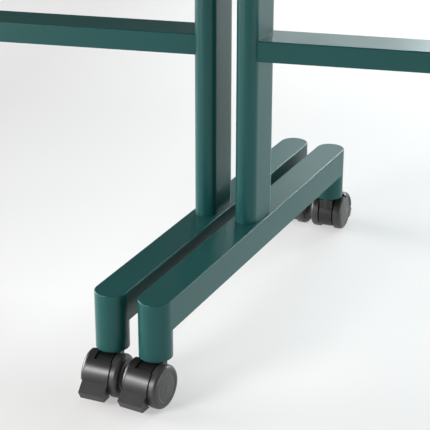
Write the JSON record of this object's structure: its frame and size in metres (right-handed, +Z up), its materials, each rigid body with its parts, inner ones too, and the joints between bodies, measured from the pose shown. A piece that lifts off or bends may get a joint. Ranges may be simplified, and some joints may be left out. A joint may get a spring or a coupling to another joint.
{
  "type": "ping pong table",
  "caption": "Two-half rolling ping pong table: angled T-leg bases on braked twin-wheel casters, flip-up tops, clip-in net.",
  "frame": {"origin": "on the floor at the middle of the net", "axes": "+X along the table, +Y across it along the net, +Z up"},
  "size_m": [2.74, 1.866, 0.9265],
  "materials": {
    "frame_paint": "satin lacquer, dark green-blue",
    "top_surface": "matte playing lacquer with white lines",
    "caster_plastic": "satin moulded",
    "caster_wheel": "satin moulded",
    "plated_steel": "zinc plated",
    "rubber": "matte",
    "grip_plastic": "soft touch",
    "net_fabric": "knotless mesh with a white tape"
  },
  "bodies": {
    "frame_a": {"inner_foot_a": "frame_paint", "outer_foot_a": "frame_paint", "inner_post_a": "frame_paint", "outer_post_a": "frame_paint", "crossbar_a": "frame_paint", "caster_stems_a": "plated_steel", "support_arms_a": "frame_paint", "arm_bumpers_a": "rubber", "hinge_pins_a": "plated_steel", "net_carrier": "frame_paint", "net_posts": "frame_paint", "net_caps": "grip_plastic", "net": "net_fabric"},
    "frame_b": {"inner_foot_b": "frame_paint", "outer_foot_b": "frame_paint", "inner_post_b": "frame_paint", "outer_post_b": "frame_paint", "crossbar_b": "frame_paint", "caster_stems_b": "plated_steel", "support_arms_b": "frame_paint", "arm_bumpers_b": "rubber", "hinge_pins_b": "plated_steel"},
    "top_a": {"table_top_a": "top_surface", "edge_frame_a": "frame_paint", "cross_rails_a": "frame_paint", "hinge_brackets_a": "frame_paint", "latch_brackets_a": "frame_paint"},
    "top_b": {"table_top_b": "top_surface", "edge_frame_b": "frame_paint", "cross_rails_b": "frame_paint", "hinge_brackets_b": "frame_paint", "latch_brackets_b": "frame_paint"},
    "latch_a": {"latch_rod_a": "frame_paint", "latch_grip_a": "grip_plastic"},
    "latch_b": {"latch_rod_b": "frame_paint", "latch_grip_b": "grip_plastic"},
    "inner_front_caster_a": {"inner_front_caster_hood_a": "caster_plastic"},
    "inner_front_caster_a_wheels": {"inner_front_caster_wheels_a": "caster_wheel"},
    "inner_front_caster_a_brake": {"inner_front_caster_brake_a": "caster_plastic"},
    "inner_rear_caster_a": {"inner_rear_caster_hood_a": "caster_plastic"},
    "inner_rear_caster_a_wheels": {"inner_rear_caster_wheels_a": "caster_wheel"},
    "inner_rear_caster_a_brake": {"inner_rear_caster_brake_a": "caster_plastic"},
    "outer_front_caster_a": {"outer_front_caster_hood_a": "caster_plastic"},
    "outer_front_caster_a_wheels": {"outer_front_caster_wheels_a": "caster_wheel"},
    "outer_front_caster_a_brake": {"outer_front_caster_brake_a": "caster_plastic"},
    "outer_rear_caster_a": {"outer_rear_caster_hood_a": "caster_plastic"},
    "outer_rear_caster_a_wheels": {"outer_rear_caster_wheels_a": "caster_wheel"},
    "outer_rear_caster_a_brake": {"outer_rear_caster_brake_a": "caster_plastic"},
    "inner_front_caster_b": {"inner_front_caster_hood_b": "caster_plastic"},
    "inner_front_caster_b_wheels": {"inner_front_caster_wheels_b": "caster_wheel"},
    "inner_front_caster_b_brake": {"inner_front_caster_brake_b": "caster_plastic"},
    "inner_rear_caster_b": {"inner_rear_caster_hood_b": "caster_plastic"},
    "inner_rear_caster_b_wheels": {"inner_rear_caster_wheels_b": "caster_wheel"},
    "inner_rear_caster_b_brake": {"inner_rear_caster_brake_b": "caster_plastic"},
    "outer_front_caster_b": {"outer_front_caster_hood_b": "caster_plastic"},
    "outer_front_caster_b_wheels": {"outer_front_caster_wheels_b": "caster_wheel"},
    "outer_front_caster_b_brake": {"outer_front_caster_brake_b": "caster_plastic"},
    "outer_rear_caster_b": {"outer_rear_caster_hood_b": "caster_plastic"},
    "outer_rear_caster_b_wheels": {"outer_rear_caster_wheels_b": "caster_wheel"},
    "outer_rear_caster_b_brake": {"outer_rear_caster_brake_b": "caster_plastic"}
  },
  "joints": [
    {"name": "halves_part", "type": "slide", "parent": "frame_a", "child": "frame_b", "axis": [-1, 0, 0], "range_m": [0, 0.5]},
    {"name": "flip_a", "type": "hinge", "parent": "frame_a", "child": "top_a", "pos_m": [0.65, 0.245, 0.671], "axis": [-1, 0, 0], "range_deg": [0, 90]},
    {"name": "latch_a_turn", "type": "hinge", "parent": "top_a", "child": "latch_a", "pos_m": [0.65, -0.285, 0.676], "axis": [1, 0, 0], "range_deg": [0, 35]},
    {"name": "flip_b", "type": "hinge", "parent": "frame_b", "child": "top_b", "pos_m": [-0.65, -0.245, 0.671], "axis": [1, 0, 0], "range_deg": [0, 90]},
    {"name": "latch_b_turn", "type": "hinge", "parent": "top_b", "child": "latch_b", "pos_m": [-0.65, 0.285, 0.676], "axis": [-1, 0, 0], "range_deg": [0, 35]},
    {"name": "inner_front_caster_a_swivel", "type": "hinge", "parent": "frame_a", "child": "inner_front_caster_a", "pos_m": [-0.03768, -0.29524, 0.061], "axis": [0, 0, 1], "range_deg": [-1.3, 188.7]},
    {"name": "inner_front_caster_a_roll", "type": "hinge", "parent": "inner_front_caster_a", "child": "inner_front_caster_a_wheels", "pos_m": [-0.04282, -0.31207, 0.029], "axis": [-0.9564, 0.292, 0], "continuous": true},
    {"name": "inner_front_caster_a_pedal", "type": "hinge", "parent": "inner_front_caster_a", "child": "inner_front_caster_a_brake", "pos_m": [-0.04282, -0.31207, 0.029], "axis": [-0.9564, 0.292, 0], "range_deg": [0, 15]},
    {"name": "inner_rear_caster_a_swivel", "type": "hinge", "parent": "frame_a", "child": "inner_rear_caster_a", "pos_m": [0.09831, 0.28093, 0.061], "axis": [0, 0, -1], "range_deg": [-2.1, 187.9]},
    {"name": "inner_rear_caster_a_roll", "type": "hinge", "parent": "inner_rear_caster_a", "child": "inner_rear_caster_a_wheels", "pos_m": [0.10148, 0.29824, 0.029], "axis": [0.9836, -0.1802, 0], "continuous": true},
    {"name": "inner_rear_caster_a_pedal", "type": "hinge", "parent": "inner_rear_caster_a", "child": "inner_rear_caster_a_brake", "pos_m": [0.10148, 0.29824, 0.029], "axis": [0.9836, -0.1802, 0], "range_deg": [0, 15]},
    {"name": "outer_front_caster_a_swivel", "type": "hinge", "parent": "frame_a", "child": "outer_front_caster_a", "pos_m": [1.19701, -0.29524, 0.061], "axis": [0, 0, 1], "continuous": true},
    {"name": "outer_front_caster_a_roll", "type": "hinge", "parent": "outer_front_caster_a", "child": "outer_front_caster_a_wheels", "pos_m": [1.19187, -0.31207, 0.029], "axis": [-0.9564, 0.292, 0], "continuous": true},
    {"name": "outer_front_caster_a_pedal", "type": "hinge", "parent": "outer_front_caster_a", "child": "outer_front_caster_a_brake", "pos_m": [1.19187, -0.31207, 0.029], "axis": [-0.9564, 0.292, 0], "range_deg": [0, 15]},
    {"name": "outer_rear_caster_a_swivel", "type": "hinge", "parent": "frame_a", "child": "outer_rear_caster_a", "pos_m": [1.33299, 0.28093, 0.061], "axis": [0, 0, 1], "continuous": true},
    {"name": "outer_rear_caster_a_roll", "type": "hinge", "parent": "outer_rear_caster_a", "child": "outer_rear_caster_a_wheels", "pos_m": [1.33617, 0.29824, 0.029], "axis": [0.9836, -0.1802, 0], "continuous": true},
    {"name": "outer_rear_caster_a_pedal", "type": "hinge", "parent": "outer_rear_caster_a", "child": "outer_rear_caster_a_brake", "pos_m": [1.33617, 0.29824, 0.029], "axis": [0.9836, -0.1802, 0], "range_deg": [0, 15]},
    {"name": "inner_front_caster_b_swivel", "type": "hinge", "parent": "frame_b", "child": "inner_front_caster_b", "pos_m": [0.03768, 0.29524, 0.061], "axis": [0, 0, 1], "range_deg": [-1.3, 188.7]},
    {"name": "inner_front_caster_b_roll", "type": "hinge", "parent": "inner_front_caster_b", "child": "inner_front_caster_b_wheels", "pos_m": [0.04282, 0.31207, 0.029], "axis": [0.9564, -0.292, 0], "continuous": true},
    {"name": "inner_front_caster_b_pedal", "type": "hinge", "parent": "inner_front_caster_b", "child": "inner_front_caster_b_brake", "pos_m": [0.04282, 0.31207, 0.029], "axis": [0.9564, -0.292, 0], "range_deg": [0, 15]},
    {"name": "inner_rear_caster_b_swivel", "type": "hinge", "parent": "frame_b", "child": "inner_rear_caster_b", "pos_m": [-0.09831, -0.28093, 0.061], "axis": [0, 0, -1], "range_deg": [-2.1, 187.9]},
    {"name": "inner_rear_caster_b_roll", "type": "hinge", "parent": "inner_rear_caster_b", "child": "inner_rear_caster_b_wheels", "pos_m": [-0.10148, -0.29824, 0.029], "axis": [-0.9836, 0.1802, 0], "continuous": true},
    {"name": "inner_rear_caster_b_pedal", "type": "hinge", "parent": "inner_rear_caster_b", "child": "inner_rear_caster_b_brake", "pos_m": [-0.10148, -0.29824, 0.029], "axis": [-0.9836, 0.1802, 0], "range_deg": [0, 15]},
    {"name": "outer_front_caster_b_swivel", "type": "hinge", "parent": "frame_b", "child": "outer_front_caster_b", "pos_m": [-1.19701, 0.29524, 0.061], "axis": [0, 0, 1], "continuous": true},
    {"name": "outer_front_caster_b_roll", "type": "hinge", "parent": "outer_front_caster_b", "child": "outer_front_caster_b_wheels", "pos_m": [-1.19187, 0.31207, 0.029], "axis": [0.9564, -0.292, 0], "continuous": true},
    {"name": "outer_front_caster_b_pedal", "type": "hinge", "parent": "outer_front_caster_b", "child": "outer_front_caster_b_brake", "pos_m": [-1.19187, 0.31207, 0.029], "axis": [0.9564, -0.292, 0], "range_deg": [0, 15]},
    {"name": "outer_rear_caster_b_swivel", "type": "hinge", "parent": "frame_b", "child": "outer_rear_caster_b", "pos_m": [-1.33299, -0.28093, 0.061], "axis": [0, 0, 1], "continuous": true},
    {"name": "outer_rear_caster_b_roll", "type": "hinge", "parent": "outer_rear_caster_b", "child": "outer_rear_caster_b_wheels", "pos_m": [-1.33617, -0.29824, 0.029], "axis": [-0.9836, 0.1802, 0], "continuous": true},
    {"name": "outer_rear_caster_b_pedal", "type": "hinge", "parent": "outer_rear_caster_b", "child": "outer_rear_caster_b_brake", "pos_m": [-1.33617, -0.29824, 0.029], "axis": [-0.9836, 0.1802, 0], "range_deg": [0, 15]}
  ]
}
